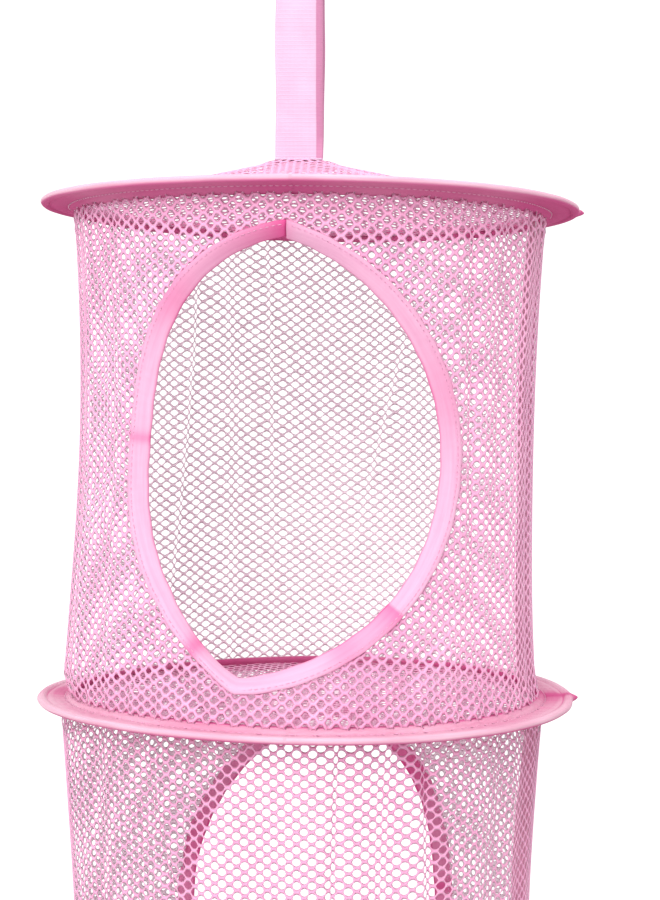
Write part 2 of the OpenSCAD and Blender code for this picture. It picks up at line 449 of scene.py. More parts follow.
# ---- Where the cloth lies
def hoop_lift(i, x, y):
    """How far hoop i's plane stands over its CAD place at x, y."""
    rise, tilt, warp, phase, droop = HOOP_HANG[i]
    out = hypot(x, y)
    bend = warp * out / HOOP_R * cos(2 * np.arctan2(y, x) + radians(phase))
    return MM * (rise + tilt * x / HOOP_R + bend - droop * clamp((HOOP_R - out) / BRIM))


def fold_flat(piece, i):
    """Gives a piece of tier i's wall its own mesh. The mean heights at which it hangs on its hoops are
    worked out, but nothing uses them.
    """
    turn = around(72)
    x, y = WALL_R * cos(turn), WALL_R * sin(turn)
    upper, lower = (float(np.mean(hoop_lift(hoop, x, y))) for hoop in (i, i + 1))
    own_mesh(piece)


def fit(piece, i, folds=False):
    """Puts a piece on hoop i's body and hides the CAD node that it replaces. Its name is that of
    that CAD node, and a word more."""
    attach(piece, HOOP_BODY[i])
    if folds:
        fold_flat(piece, i)
    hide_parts(piece.name.rpartition("_")[0])


def side(i):
    """1 where tier i opens at the front, -1 where it opens at the back."""
    return 1 if i % 2 == 1 else -1


# Folds of the walls: degrees from the opening's middle, half width in degrees, mm inwards, the
# share of the height where it is deepest, its reach up and down, and its lean in degrees over
# the tier's whole height
FOLDS = (
    (58, 3.4, 2.4, 0.95, 0.9, 5), (67, 2.6, -1.4, 0.8, 0.8, 4), (76, 3.2, 2.0, 0.3, 0.7, 3),
    (45, 1.3, 2.2, 0.6, 0.5, -4), (40, 3.0, 1.6, 0.0, 0.3, 20), (-52, 3.6, 1.8, 0.6, 0.8, 5),
    (-64, 2.8, -1.6, 0.5, 0.7, 4), (-74, 3.4, 2.1, 0.2, 0.8, 3), (-44, 3.0, 1.6, 0.03, 0.2, 60),
    (-24, 2.4, 2.6, 0.07, 0.10, -120), (-15, 2.0, 1.9, 0.05, 0.08, -90),
    (4, 2.6, 1.6, 0.04, 0.1, 70), (24, 2.6, 1.8, 0.06, 0.14, 90), (-30, 2.6, 1.3, 0.95, 0.12, 40),
    (18, 3.0, 1.4, 0.96, 0.1, -40), (104, 4.2, 2.6, 0.6, 0.9, 5), (118, 3.6, -2.0, 0.4, 0.8, 2),
    (131, 4.4, 2.2, 0.7, 0.9, 3), (146, 3.8, 1.6, 0.3, 0.8, 2), (160, 1.3, 2.4, 0.6, 0.3, -31),
    (168, 4.6, -1.4, 0.6, 0.9, 2), (178, 4.0, 1.8, 0.4, 0.9, 2), (-172, 3.4, -1.2, 0.7, 0.7, 0),
    (-165, 1.1, 2.6, 0.8, 0.6, 3), (-154, 4.4, 1.9, 0.6, 1.0, 2), (-141, 1.3, 2.8, 0.7, 0.7, -11),
    (-128, 4.2, -1.8, 0.4, 0.8, 2), (-119, 4.0, 2.2, 0.6, 0.9, 3), (-106, 4.4, 1.8, 0.4, 0.8, 3),
)
# Where the net's columns are squeezed together: the same, with a share in place of the depth
PLEATS = (
    (-141, 3.0, 0.62, 0.7, 0.7, -11), (-165, 2.2, 0.6, 0.8, 0.6, 3), (160, 2.4, 0.6, 0.6, 0.3, -31),
    (45, 2.6, 0.6, 0.6, 0.5, -4), (-154, 4.0, 0.3, 0.5, 0.9, 2), (-55, 3.5, 0.35, 0.5, 0.8, 5),
    (112, 4.0, 0.45, 0.5, 0.9, 3), (-112, 4.0, 0.45, 0.5, 0.9, 3), (-70, 3.0, 0.4, 0.6, 0.7, 3),
    (64, 3.0, 0.4, 0.6, 0.7, 4), (136, 3.0, 0.4, 0.5, 0.8, 2),
)
# Where a wall stands further out, by tier: side along X, mm outwards, the share of the height
# where it is most, and its reach up and down
BULGES = {
    1: ((-1, 4.6, 0.06, 0.42), (1, -1.9, 0.06, 0.3)),
    2: ((-1, 6.4, 0.94, 0.4), (1, 1.6, 0.94, 0.3)),
}


def creases(table, i, phi, share):
    """For each fold or pleat of tier i: its size and half width, how many half widths away
    a point lies, and the fold's strength at its height."""
    for angle, width, size, at, reach, lean in table:
        turned = (np.degrees(phi) + 5.0 * (i - 1) - angle + 180) % 360 - 180
        yield size, width, (turned - lean * (share - at)) / width, hump(share - at, reach)


def pleated(i, phi, share):
    """Angles on tier i's wall, drawn together along its creases."""
    shift = np.zeros_like(phi * share)
    for squeeze, width, away, strength in creases(PLEATS, i, phi, share):
        shift = shift + squeeze * width * strength * away * hump(away)
    return phi - radians(shift)


def wall_radius(i, phi, share):
    """A wall's radius at an angle from the middle of its opening, share of the way up."""
    radius = WALL_R - WAIST * (1 - (2 * share - 1) ** 2)
    hold = clamp(np.minimum(share, 1 - share) / 0.05)
    for depth, _, away, strength in creases(FOLDS, i, phi, share):
        radius = radius - depth * MM * hold * hump(away) * strength
    for way, out, at, reach in BULGES.get(i, ()):
        beside = clamp(way * side(i) * sin(phi)) ** 3
        radius = radius + out * MM * beside * hold * hump(share - at, reach)
    near = np.minimum(share, 1 - share) * TIER_H
    pucker = sin(52 * phi + 2.4 * sin(5 * phi + i)) + 0.6 * sin(83 * phi + 1.7 * i)
    radius = radius + 0.55 * MM * pucker * hump(near - 7 * MM, 9 * MM)
    flare = clamp(1 - near / (3 * MM))
    return radius + 1.4 * MM * flare ** 2


def hoops_at(i, x, y):
    """Heights of the hoops under and over tier i at x, y."""
    return HOOP_Z[i + 1] + hoop_lift(i + 1, x, y), HOOP_Z[i] + hoop_lift(i, x, y)


def wall_place(i, phi, share, lift):
    """Points on tier i's wall, lift metres out from the middle of the net."""
    radius = wall_radius(i, phi, share) + lift
    x = side(i) * radius * sin(phi)
    y = -side(i) * radius * cos(phi)
    low, high = hoops_at(i, x, y)
    return np.stack([x, y, low + (high - low) * share], axis=-1)


def outline_side(right, grow, height):
    """How far the outline's right or left side lies out from the line between its points, at
    a height from -1 to 1."""
    which = np.where(right, 0, 1)
    shoulder, point = (np.where(height > 0, np.take(upper, which), np.take(lower, which))
                       for upper, lower in zip(UPPER, LOWER))
    bulge = np.where(right, OPEN_RIGHT, OPEN_LEFT) + grow
    return bulge * clamp(1 - abs(height) ** shoulder) ** (1 / point)


def half_height(grow):
    """Half the height of the outline grown by grow."""
    return OPEN_H / 2 + POINT_GROWTH * grow


def leaned(x, z, lean):
    """x and z turned to the right by an angle."""
    return x * cos(lean) + z * sin(lean), z * cos(lean) - x * sin(lean)


def in_outline(x, z, grow):
    """Whether x and z, from the tier's middle, lie inside the outline grown by grow."""
    u, v = leaned(x - OPEN_SHIFT, z, -LEAN)
    height = np.clip(v / half_height(grow), -1, 1)
    return (abs(v) < half_height(grow)) & (abs(u) < outline_side(u > 0, grow, height))


# How far along X and Z the outline is drawn out at its upper (1) and its lower point (-1)
POINTS = {1: (4.0 * MM, 3.2 * MM), -1: (-3.3 * MM, -1.6 * MM)}
POINT_FADE = 17 * MM


def drawn_out(x, z, grow):
    """x and z with the outline's two points drawn out."""
    for way, (along_x, along_z) in POINTS.items():
        tip_x, tip_z = leaned(0, way * half_height(grow), LEAN)
        hold = exp(-hypot(x - OPEN_SHIFT - tip_x, z - tip_z) / POINT_FADE)
        x, z = x + along_x * hold, z + along_z * hold
    return x, z


def outline_point(grow, share):
    """x and z on the outline grown by grow, a share of the way round it: from the top point
    down its right side to the bottom point (0.5) and up its left side."""
    right = share <= 0.5
    height = sin(np.where(right, TURN / 4 - TURN * share, TURN * share - 0.75 * TURN))
    u = outline_side(right, grow, height) * np.where(right, 1, -1)
    x, z = leaned(u, height * half_height(grow), LEAN)
    return drawn_out(OPEN_SHIFT + x, z, grow)


FINE_STEPS = 4001  # in measuring one side of the outline
JUST_UNDER = 1e-12  # keeps a side's end from counting as the next side


def even_shares(count):
    """Evenly spaced shares of the way round the outline, count on each side, and how far
    along it each lies."""
    shares, lengths, done = [], [], 0.0
    for start in (0.0, 0.5):
        fine = np.linspace(start, start + 0.5, FINE_STEPS)
        along = distances(together(*outline_point(0.0, np.clip(fine, start, start + 0.5 - JUST_UNDER))))
        at = np.linspace(0, along[-1], count, endpoint=False)
        shares.append(np.interp(at, along, fine))
        lengths.append(at + done)
        done += along[-1]
    return np.concatenate([*shares, [1.0]]), np.concatenate([*lengths, [done]])


def tier_middle(i):
    """The height of tier i's middle."""
    return (HOOP_Z[i] + HOOP_Z[i + 1]) / 2


def on_wall(i, x, z, lift):
    """Points on tier i's wall in front of x and z, measured from the tier's middle."""
    radius = WALL_R - WAIST * (1 - (2 * z / TIER_H) ** 2)
    phi = np.arcsin(x / radius)
    low, high = hoops_at(i, side(i) * x, -side(i) * radius * cos(phi))
    return wall_place(i, phi, (tier_middle(i) + z - low) / (high - low), lift)


TAPE_LEAN = 0.72  # how far the tape is turned inwards, in radians
TAPE_WANDER = 0.16  # how far that comes and goes along it
LAST_ARM = 34 * MM  # from the lower point to where it is turned in most
LAST_ARM_LEAN = 0.42  # how much more it is turned in there


def tape_turn(i, along, total):
    """How far the tape turns inwards about its stitch line, along the opening."""
    last_arm = hump(along - total / 2 - LAST_ARM, LAST_ARM)
    wander = TAPE_WANDER * sin(3 * TURN * along / total + 1.1 + i)
    return TAPE_LEAN + wander + LAST_ARM_LEAN * last_arm


def tucked(i, points):
    """Points of tier i's net, those in the opening's binding turned inwards with it."""
    share, along = even_shares(150)
    edge_x, edge_z = outline_point(0.0, share)
    x, z = side(i) * points[:, 0], points[:, 2] - tier_middle(i)
    near = (side(i) * points[:, 1] < 0) & in_outline(x, z, 0.0)
    apart = hypot(x[near, None] - edge_x, z[near, None] - edge_z)
    closest = np.argmin(apart, axis=1)
    inside = np.clip(np.min(apart, axis=1) - TAPE_STITCH, 0, None)
    sink = inside * np.tan(clamp(tape_turn(i, along, along[-1])[closest]))
    points[near, :2] -= unit(points[near, :2]) * sink[:, None]
    return points


# ---- Knitted net
CORNER_A = (HALF_COLUMN ** 2 + HALF_ROW ** 2) / (2 * HALF_COLUMN)  # a site's side corner
# Each corner of the cell round site (0, 0), as the left (0) or right (1) corner of a site
CELL_CORNERS = ((1, 0, 0), (0, 1, 1), (1, -1, 1), (0, 0, 0), (1, -1, -1), (0, 1, -1))
CELL_NEIGHBOURS = ((1, 1), (0, 2), (-1, 1), (-1, -1), (0, -2), (1, -1))
RING = 12  # points round a hole


def hole_angles():
    """The angles of a hole's points: one towards each corner of its cell, one between."""
    steep = np.arctan2(HALF_ROW, HALF_COLUMN - CORNER_A)
    half = TURN / 2
    corners = [0, steep, half - steep, half, half + steep, TURN - steep, TURN]
    return np.array([a for k in range(6) for a in (corners[k], (corners[k] + corners[k + 1]) / 2)])


def net_piece(name, keep, wrap, place, spots, hole):
    """Net with a hole at each kept site, keep being columns by rows of sites. spots holds
    random shifts, place makes the points, wrap closes the columns into a ring whose inside is
    painted paler, a painted sheen of light."""
    columns, rows = keep.shape
    i, j = np.nonzero(keep)
    keys = np.zeros((len(i), 6), np.int64)
    for k, (which, di, dj) in enumerate(CELL_CORNERS):
        column = (i + di) % columns if wrap else i + di + 1
        keys[:, k] = (which * (columns + 2) + column) * (rows + 2) + (j + dj + 1)
    used, ids = np.unique(keys, return_inverse=True)
    ids = ids.reshape(keys.shape)
    which, rest = np.divmod(used, (columns + 2) * (rows + 2))
    column, row = np.divmod(rest, rows + 2)
    column, row = (column if wrap else column - 1), row - 1
    shift = spots["corner"][which, column % columns, row % rows]
    u = column * HALF_COLUMN + (2 * which - 1) * CORNER_A + shift[:, 0]
    v = row * HALF_ROW + shift[:, 1]
    angles = hole_angles()
    middle = spots["hole"][i, j]
    wide, high, shape = hole
    bent = abs(cos(angles) / wide) ** shape + abs(sin(angles) / high) ** shape
    reach = spots["grow"][i, j][:, None] * bent ** (-1 / shape)
    ring_u = (i * HALF_COLUMN + middle[:, 0])[:, None] + reach * cos(angles)
    ring_v = (j * HALF_ROW + middle[:, 1])[:, None] + reach * sin(angles)
    rings = place(ring_u.ravel(), ring_v.ravel(), 0.0)
    points = np.concatenate([place(u, v, YARN_R), place(u, v, -YARN_R), rings])
    m = len(used)
    ring = 2 * m + np.arange(len(i))[:, None] * RING + np.arange(RING)
    five, four = [], []
    for k, (di, dj) in enumerate(CELL_NEIGHBOURS):
        a, b = ids[:, k], ids[:, (k + 1) % 6]
        h = [ring[:, (2 * k + n) % RING] for n in range(3)]
        five.append(np.stack([a, b, h[2], h[1], h[0]], axis=1))
        five.append(np.stack([h[0], h[1], h[2], b + m, a + m], axis=1))
        ni, nj = (i + di) % columns if wrap else i + di, j + dj
        inside = (nj >= 0) & (nj < rows) & (ni >= 0) & (ni < columns)
        open_side = ~(inside & keep[np.clip(ni, 0, columns - 1), np.clip(nj, 0, rows - 1)])
        four.append(np.stack([b, a, a + m, b + m], axis=1)[open_side])
    edge = np.repeat((0.0, 1.0), (2 * m, len(rings)))
    # Walls get the painted pale sheen on their inner face; discs keep the outer pink on both faces.
    inside_tone = 0.0 if wrap else 1.0
    outside = np.repeat((1.0, inside_tone, 0.5), (m, m, len(rings)))
    faces = [np.concatenate(five), np.concatenate(four)]
    return make_piece(name, points, faces, NET, edge=edge, outside=outside)


def net_spots(columns, rows):
    """Small random shifts of the net's corners and holes, as knitting has."""
    return {
        "corner": rng.normal(0, 0.09 * MM, (2, columns, rows, 2)),
        "hole": rng.normal(0, 0.09 * MM, (columns, rows, 2)),
        "grow": rng.normal(1.0, 0.035, (columns, rows)),
    }


FOOT = 0.4 * MM  # how far the net's edges stay from the hoops' planes


def wall_net(i):
    """Tier i's net wall, in a half with the opening and a half behind it."""
    spots = net_spots(WALL_COLUMNS, WALL_ROWS)
    column, row = np.indices((WALL_COLUMNS, WALL_ROWS))
    in_front = cos(column * HALF_COLUMN / WALL_R) > 0
    staggered = (column + row) % 2 == 0

    def place(u, v, lift):
        angle = u / WALL_R
        share = (FOOT + v + HALF_ROW) / TIER_H
        middle = sin(TURN / 2 * clamp(share))
        sway = 1.1 * MM * sin(3 * angle + 5 * share + i) * middle
        drop = 0.9 * MM * sin(7 * angle + 2 * i) * middle
        angle = pleated(i, angle + sway / WALL_R, share)
        return wall_place(i, angle, share + drop / TIER_H, lift)

    def place_tucked(u, v, lift):
        return tucked(i, place(u, v, lift))

    spot = place(column * HALF_COLUMN, row * HALF_ROW, 0.0)
    opens = in_outline(side(i) * spot[..., 0], spot[..., 2] - tier_middle(i), -NET_IN_TAPE)
    back_hole = WIDE_HOLE if side(i) == 1 else OPEN_HOLE
    halves = {"front": (in_front & ~opens, ROUND_HOLE), "back": (~in_front, back_hole)}
    for half, (where, hole) in halves.items():
        piece = net_piece(f"wall_net_{i}_{half}", staggered & where, True, place_tucked, spots, hole)
        fit(piece, i, folds=True)


DISC_SITES = 36  # columns of sites from the middle of a disc to its edge
DISC_ROWS = 46


def disc_net(name, i, height_at, pull, hole):
    """A round net panel in hoop i, its height given over x and y, its middle pulled along X."""
    columns, rows = 2 * DISC_SITES + 1, 2 * DISC_ROWS + 1
    spots = net_spots(columns, rows)
    column, row = np.indices((columns, rows))
    out = hypot((column - DISC_SITES) * HALF_COLUMN, (row - DISC_ROWS) * HALF_ROW)
    keep = ((column + row) % 2 == 0) & (out < SEAM_R - 0.5 * MM)

    def place(u, v, lift):
        x = u - DISC_SITES * HALF_COLUMN
        y = v - DISC_ROWS * HALF_ROW
        bow = 1.2 * MM * sin(x / (40 * MM)) * cos(y / (31 * MM))
        middle = clamp(1 - hypot(x, y) / WALL_R)
        return np.stack([x + bow + pull * middle, y + bow, height_at(x, y) + lift], axis=-1)

    piece = net_piece(name, keep, False, place, spots, hole)
    fit(piece, i)


def floor_height(i):
    """Heights of the floor in hoop i, which sags a little in gathers towards its middle."""
    def height(x, y):
        share = clamp(hypot(x, y) / WALL_R)
        gather = sin(17 * np.arctan2(y, x) + i) * share ** 2 * clamp((1 - share) * 12)
        return HOOP_Z[i] + hoop_lift(i, x, y) - 4.2 * MM * (1 - share ** 2) + 0.5 * MM * gather
    return height


def cone_height(x, y):
    """Heights of the top panel, a net tent drawn up to the strap."""
    out = hypot(x, y)
    share = clamp((out - PATCH_R) / (WALL_R - PATCH_R))
    rise = (CONE_TOP - 0.4 * MM - HOOP_Z[1]) * (1 - share) ** 1.12
    ridges = 0.7 * MM * sin(11 * np.arctan2(y, x) + 0.6) * sin(TURN / 2 * share)
    lip = 1.0 * MM * hump(out - PATCH_R, 4 * MM)
    return HOOP_Z[1] + hoop_lift(1, x, y) * share + rise + ridges + lip


# ---- Rims
RIM_STEPS = 540
# The upper half of the folded edge inside the walls: mm out from the walls, mm up
ROLL_EDGE = ((-1.0, 0.0), (-1.5, 0.7), (-2.4, 1.8), (-2.6, 3.1), (-1.8, 3.8), (-0.9, 3.3),
             (-0.4, 2.9), (0.3, 2.5))
# The upper half of the sleeve from there to its wire: mm out, height as a share of the tube's
SLEEVE_TOP = ((1.1, 1.25), (1.9, 0.95), (2.5, 0.5), (3.0, 0.24), (3.6, 0.36), (4.6, 0.43),
              (6.4, 0.49), (9.0, 0.54), (11.4, 0.53), (12.4, 0.42), (12.9, 0.55), (13.5, 0.82),
              (14.4, 0.96))
HOLLOW_FROM = 6  # the first of those that the hollow follows
HOLLOW_START = 4.4 * MM  # where the hollow closes, out from the walls
GROOVE_OUT = 12.4  # the sleeve's second stitch line, beside the wire, in mm
TUBE_TURNS = (82, 64, 46, 30, 15)
CLOTH_T = 0.32 * MM
PUCKER_MOST = 0.36  # the deepest pucker, as a share of the height and in mm


def painted_underside_shade(turn):
    """Painted shade on the sleeve: how much deeper its colour is at an angle round its wire, most from
    below.
    """
    return 0.85 * min(1.0, max(0.0, (-6 - turn) / 36))


def looseness(out):
    """How much the sleeve puckers at a distance in mm out from the walls, from 0 to 1."""
    return max(0.0, 1 - abs(out - 4.5) / 7)


def tube_point(turn, radius):
    """Distance out from the walls and height at an angle in degrees round the wire."""
    a = radians(turn)
    return BRIM + radius * cos(a), radius * sin(a)


def sleeve_section():
    """The sleeve's section, as rows of distance out from the walls, height, looseness and
    depth of colour, which is mostly painted shade, and the section of the hollow inside it."""
    # Painted shade: the folded edge inside the walls is deep pink, most where it lies behind the net.
    upper = [(out * MM, up * MM, 0.0, 0.9 if out < -0.6 else 0.35) for out, up in ROLL_EDGE]
    for out, share in SLEEVE_TOP:
        # Painted shade in the groove beside the wire; the brim's flat top is a deeper pink than the
        # tube.
        groove = exp(-((out - GROOVE_OUT) / 0.4) ** 2)
        deep = 0.3 * min(1.0, max(0.0, (12.2 - out) / 3)) + 0.4 * groove
        upper.append((out * MM, share * SLEEVE_R, looseness(out), deep))
    # Painted shade: the whole lower side is deep pink.
    lower = [(out, -up, loose, max(deep, painted_underside_shade(-90))) for out, up, loose, deep in reversed(upper[1:])]
    turns = (*TUBE_TURNS, 0, *(-turn for turn in reversed(TUBE_TURNS)))
    # Painted shade under the tube, none on its top and outer face.
    tube = [(*tube_point(turn, SLEEVE_R), 0.0, painted_underside_shade(turn)) for turn in turns]
    inside = [(HOLLOW_START, 0.0)]
    for out, share in SLEEVE_TOP[HOLLOW_FROM:]:
        slack = PUCKER_MOST * looseness(out)
        inside.append((out * MM, share * SLEEVE_R * (1 - slack) - CLOTH_T - slack * MM))
    inside += [tube_point(turn, SLEEVE_R - CLOTH_T) for turn in (*TUBE_TURNS, 0)]
    inside += [(out, -up) for out, up in reversed(inside[1:-1])]
    return np.array(upper + tube + lower), np.array(inside)


def rim_point(i, phi, radius, height):
    """Points of rim i at an angle from the front, and a height over the hoop's plane."""
    x = radius * sin(phi)
    y = -radius * cos(phi)
    return together(x, y, HOOP_Z[i] + hoop_lift(i, x, y) + height)


def girth(section):
    """The length round a closed section."""
    x, y = (np.roll(section, -1, axis=0) - section)[:, :2].T
    return float(hypot(x, y).sum())


def rim_shade_and_tone(i, phi, seam, pinch, deep, up):
    """The depth of rim i's colour: its section's, and painted shade at its seam and its far side, with
    a little random blotching.
    """
    # Painted shade in the crease where the seam pinches the sleeve.
    tone = deep + 0.85 * pinch * clamp(1.4 - abs(up) / SLEEVE_R)
    # Painted shade on the +X side, round the seam.
    tone = tone + 0.4 * hump(seam, 6) + 0.25 * hump(seam, 22)
    blotch = sin(3 * phi + 1.3 * i) * sin(8 * phi + 2.0 * i)
    # Painted shade at the far -X end; the blotches are random tone.
    return clamp(tone + 0.3 * hump(abs(abs(seam) - 180), 11) + 0.12 * blotch)


def rim_sleeve(i):
    """Fabric folded round hoop i's wire, puckered along its stitches and pinched at its seam."""
    phi = around(RIM_STEPS)[:, None]
    section, inside = sleeve_section()
    out, up, loose, deep = (column[None] for column in section.T)
    ripple = sin(96 * phi + 3 * sin(7 * phi + i)) + 0.7 * sin(61 * phi + 2.1 * i)
    ripple = (ripple + 0.5 * sin(151 * phi + i)) * loose
    seam = (np.degrees(phi) - 90 + 180) % 360 - 180  # degrees from the seam, at the +X side
    pinch = hump(seam, 1.6)
    overlap = clamp((seam + 7) / 1.5) * clamp(-seam / 0.6)
    tip = clamp((out - BRIM) / SLEEVE_R)
    radius = WALL_R + out + (3.0 * MM * pinch + 0.15 * MM * sin(23 * phi + i)) * tip
    thick = (1 + 0.16 * ripple + 0.22 * overlap) * (1 - 0.2 * pinch * tip)
    grid = rim_point(i, phi, radius, up * thick + 0.16 * MM * ripple)
    cloth = together(phi * HOOP_R, distances(section[:, :2])[None])
    hollow = rim_point(i, phi, WALL_R + inside[:, 0][None], inside[:, 1][None])
    tone = rim_shade_and_tone(i, phi, seam, pinch, deep, up)
    piece = sweep(f"rim_sleeve_{i}_cloth", grid[:, ::-1], SLEEVE, cloth[:, ::-1], tone[:, ::-1],
                  closed=True, hollow=hollow[:, ::-1])
    fit(piece, i)
    (girth(section) + girth(inside)) / 2


def rim_stitching(i):
    """Thread through both sides of sleeve i."""
    phi = np.linspace(0, TURN, 1441)
    runs = []
    for way in (1, -1):
        path = rim_point(i, phi, SEAM_R, way * (0.24 * SLEEVE_R + 0.1 * MM))
        runs.append((path, 0 * path + (0, 0, way)))
    piece = stitch_run(f"rim_stitching_{i}_thread", runs, 3.1 * MM, 2.5 * MM)
    fit(piece, i)


def wire_point(i, phi, radius, sides):
    """Points round the middle line of hoop i's wire."""
    turn = around(sides)[None]
    return rim_point(i, phi, HOOP_R + radius * cos(turn), radius * sin(turn))


def hoop_wire(i):
    """Spring wire in a ring whose ends meet at the +X side."""
    gap = radians(0.17)
    phi = TURN / 4 + np.linspace(gap, TURN - gap, 361)[:, None]
    fit(sweep(f"hoop_wire_{i}_steel", wire_point(i, phi, WIRE_R, 12), WIRE), i)


def hoop_ferrule(i):
    """Crimped tube over the wire's ends, with two rows of crimps."""
    share = np.linspace(-1, 1, 41)
    crimp = hump(abs(share) - 0.5, 0.09)
    radius = (FERRULE_R - 0.28 * MM * crimp) * np.where(abs(share) > 0.97, 0.93, 1.0)
    phi = TURN / 4 + (share * FERRULE_L / 2 / HOOP_R)[:, None]
    outer, bore = (wire_point(i, phi, r, 20) for r in (radius[:, None], WIRE_R + 0.06 * MM))
    grid = np.concatenate([outer, bore[::-1]])
    piece = sweep(f"hoop_ferrule_{i}_crimped", grid, FERRULE, closed=True)
    fit(piece, i)


# ---- Openings
TAPE_STEPS = 170  # on each side of an opening
# The folded tape's outer face: mm in from its outer edge, mm out from the net
TAPE_FACE = ((0.0, 0.42), (0.2, 0.7), (1.0, 0.82), (1.8, 0.6), (2.6, 0.85), (4.4, 0.92),
             (6.4, 0.98), (7.8, 0.96), (8.6, 0.76), (9.0, 0.3))
TAPE_SLOT = ((0.0, 0.3), (3.0, 0.29), (7.2, 0.26), (7.8, 0.0))  # the same for its hollow
# Stretches of the tape painted a deeper pink as shade of its folds and creases: metres along it
# from the top point, half length, and how deep
TAPE_PAINTED_SHADE = ((0.0, 4 * MM, 0.25), (0.262, 9 * MM, 0.25), (0.347, 5 * MM, 0.6),
              (0.458, 3 * MM, 0.45), (0.53, 14 * MM, 0.35), (0.115, 20 * MM, 0.25))
JOIN_AT = 0.229  # metres along the tape to where a second length starts
JOIN_FADE = 15 * MM
LAP_FADE = 12 * MM


def join(along):
    """1 just past the tape's join, fading with the distance from it."""
    past = along - JOIN_AT
    return clamp(past / (0.8 * MM)) * exp(-np.clip(past, 0, None) / JOIN_FADE)


def lap(along, total):
    """How far out the tape lies over its own end, under its start and past its join."""
    over = 0.8 * MM * exp(-along / LAP_FADE) - 0.5 * MM * exp(-(total - along) / LAP_FADE)
    return over + 0.4 * MM * join(along)


def tape_section():
    """Both faces of the tape with the fold between them, and the hollow that holds the net."""
    outer, slot = np.array(TAPE_FACE) * MM, np.array(TAPE_SLOT) * (MM, -MM)
    mirror = (1, -1)
    return np.concatenate([outer, outer[::-1] * mirror, slot, slot[-2::-1] * mirror])


def tape_point(i, share, inset, lift, turn):
    """Points of tier i's binding, turned about its stitch line."""
    out = inset - TAPE_STITCH
    leaning = np.where(out > 0, turn, 0.25 * turn)
    flat = TAPE_STITCH + out * cos(leaning) + lift * sin(leaning)
    x, z = outline_point(-flat, share)
    return on_wall(i, x, z, lift * cos(leaning) - out * sin(leaning) + 0.3 * MM)


def opening_binding(i):
    """Tape folded over the net's cut edge, starting over its own end at the top point."""
    share, along = (values[:, None] for values in even_shares(TAPE_STEPS))
    total = along[-1, 0]
    inset, lift = (column[None] for column in tape_section().T)
    corner = hump(abs(along - along[TAPE_STEPS]), 5 * MM)
    steps = along / MM
    ripple = sin(1.7 * steps + 2 * sin(0.11 * steps)) + 0.8 * sin(1.03 * steps + i)
    faces = abs(lift) > 0.4 * MM
    loose = hump(inset - 3.2 * MM, 3.5 * MM)
    thick = 1 + (0.13 * ripple * loose + 0.45 * corner) * faces
    edge = 0.25 * MM * sin(0.35 * steps + i) * (inset / TAPE_W - 0.5)
    place = lift * thick + lap(along, total)
    grid = tape_point(i, share + 0 * inset, inset + edge, place, tape_turn(i, along, total))
    cloth = together(along, distances(tape_section())[None])
    # Painted shade: deeper pink on the last arm where it tucks under the top point, and a shadow line
    # along the inner edge.
    deep = exp(-(total - along) / (24 * MM)) + 0.35 * (abs(inset - TAPE_W) < 0.6 * MM)
    # Painted shade past the join and on the tape's inner face.
    deep = deep + 0.7 * join(along) + 0.45 * (lift < -0.2 * MM)
    for at, reach, depth in TAPE_PAINTED_SHADE:
        deep = deep + depth * hump(along - at, reach)
    piece = sweep(f"opening_binding_{i}_tape", grid, TAPE, cloth, clamp(deep))
    fit(piece, i, folds=True)


def binding_stitching(i):
    """Thread along the binding, on its outer and its inner face."""
    share, along = even_shares(600)
    total = along[-1]
    share, along = share[4:-4], along[4:-4]
    runs = []
    for way in (1, -1):
        lift = way * 0.52 * MM + lap(along, total)
        path = tape_point(i, share, TAPE_STITCH + 0 * share, lift, tape_turn(i, along, total))
        runs.append((path, unit(path * (1.0, 1.0, 0.0) * way)))
    piece = stitch_run(f"binding_stitching_{i}_thread", runs, 3.0 * MM, 2.4 * MM)
    fit(piece, i, folds=True)


# The side seam's section: share of its half width, mm from its outer face
SIDE_SEAM = ((-1, 0.35), (-0.8, 0.2), (0, 0.15), (0.8, 0.2), (1, 0.35), (1, 0.9), (0.75, 1.35),
             (0.3, 1.2), (-0.2, 1.4), (-0.75, 1.3), (-1, 0.9))


def side_seam(i):
    """The folded allowance of the wall's upright seam, standing inwards at the +X side."""
    share = np.linspace(0.012, 0.988, 131)[:, None]
    half = SIDE_SEAM_W / 2
    across, deep = (column[None] for column in np.array(SIDE_SEAM).T * ((half,), (MM,)))
    wave = 0.4 * MM * sin(60 * share) + 0.3 * MM * sin(23 * share + i)
    stand = 0.8 + 0.12 * sin(9 * share + i)
    offset = (across * cos(stand) + deep * sin(stand) + wave) / WALL_R
    depth = 0.5 * MM + (across + half) * sin(stand) + deep * cos(stand)
    grid = wall_place(i, side(i) * (TURN / 4 - offset), share + 0 * offset, -depth)
    piece = sweep(f"side_seam_{i}_fold", grid, SLEEVE, together(share * TIER_H, across), 0.35)
    fit(piece, i, folds=True)


# ---- Strap
RIB_PITCH = 2.0 * MM
# The webbing's section: share of its half width, and thickness as a share of the full one
WEBBING_SECTION = ((-1, 0.3), (-0.985, 0.62), (-0.93, 0.9), (-0.86, 0.72), (-0.5, 0.78), (0, 0.8),
                   (0.5, 0.78), (0.7, 0.76), (0.74, 0.76), (0.86, 0.72), (0.93, 0.9),
                   (0.985, 0.62), (1, 0.3))
FOOT_BEND = 1.6 * MM  # radius of the bend between a foot and its leg


